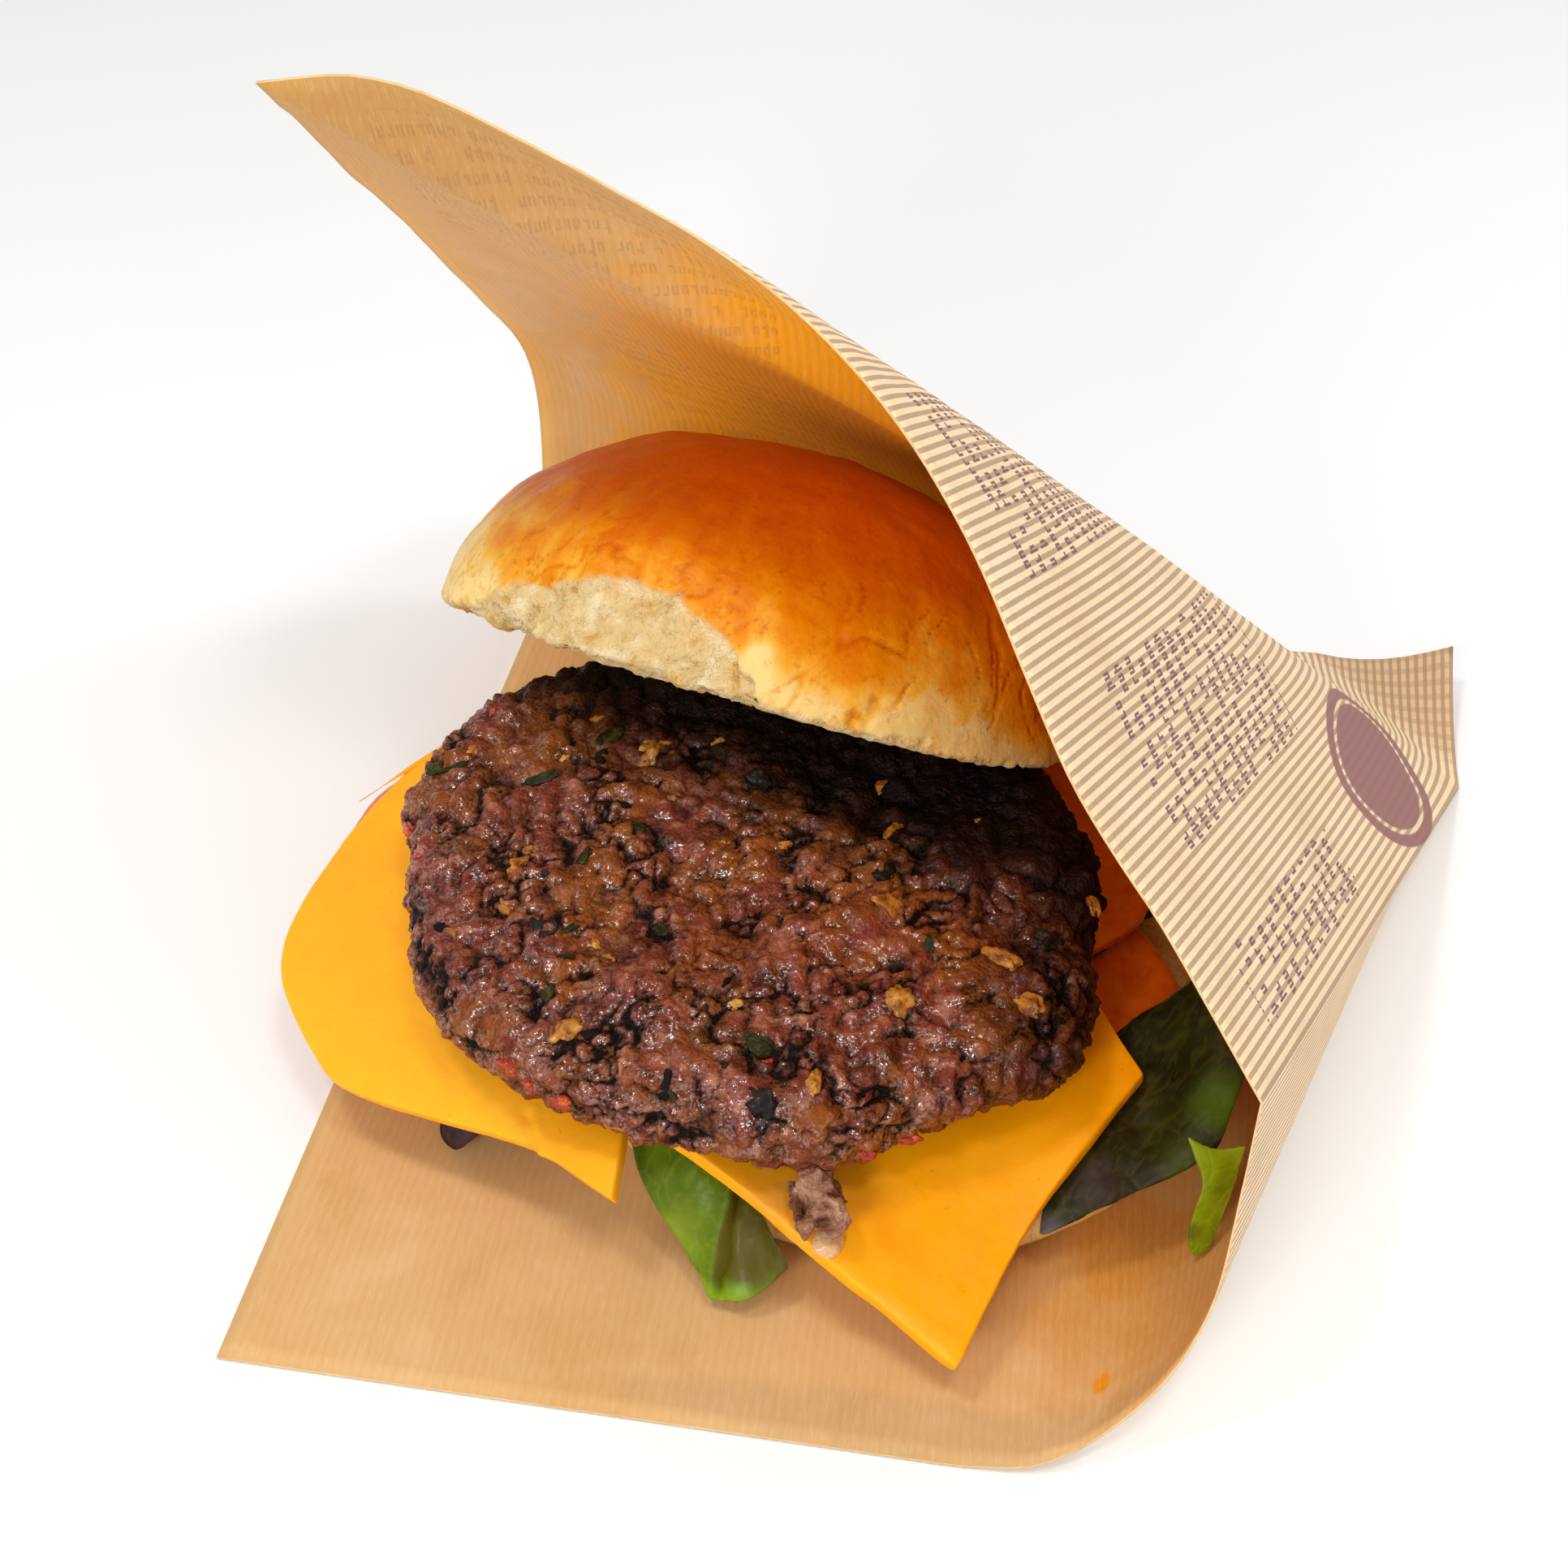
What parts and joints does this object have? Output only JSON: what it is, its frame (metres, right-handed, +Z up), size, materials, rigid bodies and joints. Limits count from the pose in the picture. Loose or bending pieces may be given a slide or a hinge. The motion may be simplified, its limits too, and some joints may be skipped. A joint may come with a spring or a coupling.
{
  "type": "short rib burger in a paper bag",
  "caption": "Short rib burger with cheese, tomato and salad in a soft bun, lying in its open kraft paper bag with the crown pushed back to show the patty.",
  "frame": {"origin": "on the bag's flat underside, where it lies on the table, near the middle of the burger", "axes": "+Z up, -Y towards the side that the bag opens to, +X to the right as seen from there"},
  "size_m": [0.2173, 0.2171, 0.1661],
  "materials": {
    "paper": "uncoated kraft paper, cream and printed outside",
    "bun": "baked crust with a satin sheen, pale open crumb",
    "meat": "coarse minced meat, wet and glossy",
    "cheese": "smooth melted slice, soft sheen",
    "lettuce": "fresh leaf, slightly glossy",
    "dark_lettuce": "dark leaf with pale veins, glossy",
    "tomato": "wet flesh with a glossy skin"
  },
  "bodies": {
    "root": {"paper_bag": "paper", "bun_heel": "bun", "bun_crown": "bun", "patty": "meat", "cheese_left": "cheese", "cheese_right": "cheese", "lettuce_front": "lettuce", "lettuce_right_dark": "dark_lettuce", "lettuce_right_light": "lettuce", "lettuce_right_inner": "dark_lettuce", "lettuce_left_tip": "dark_lettuce", "tomato_left": "tomato", "tomato_right_back": "tomato", "tomato_right_front": "tomato", "meat_crumb": "meat"}
  },
  "joints": []
}
